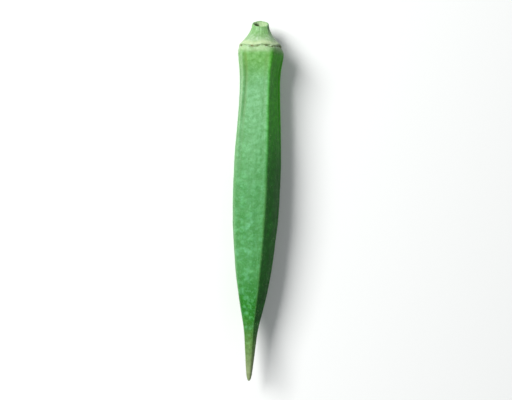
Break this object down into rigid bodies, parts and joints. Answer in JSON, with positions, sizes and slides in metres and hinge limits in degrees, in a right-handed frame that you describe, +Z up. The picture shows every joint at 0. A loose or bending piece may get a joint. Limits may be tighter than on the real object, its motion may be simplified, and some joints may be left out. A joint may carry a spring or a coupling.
{
  "type": "okra pod",
  "caption": "Okra pod as picked: a long, tapering, five-ridged green pod with a pale cap and a short cut stem, lying on one of its faces.",
  "frame": {"origin": "middle of the flat spot under the pod's belly, on the surface that the pod rests on", "axes": "+Y along the pod towards its stem, -Y towards its tip, +Z up, +X across the pod"},
  "size_m": [0.0174, 0.1274, 0.0165],
  "materials": {
    "pod_skin": "satin",
    "scar": "matte",
    "hairs": "satin"
  },
  "bodies": {
    "root": {"okra_pod": "pod_skin"}
  },
  "joints": []
}
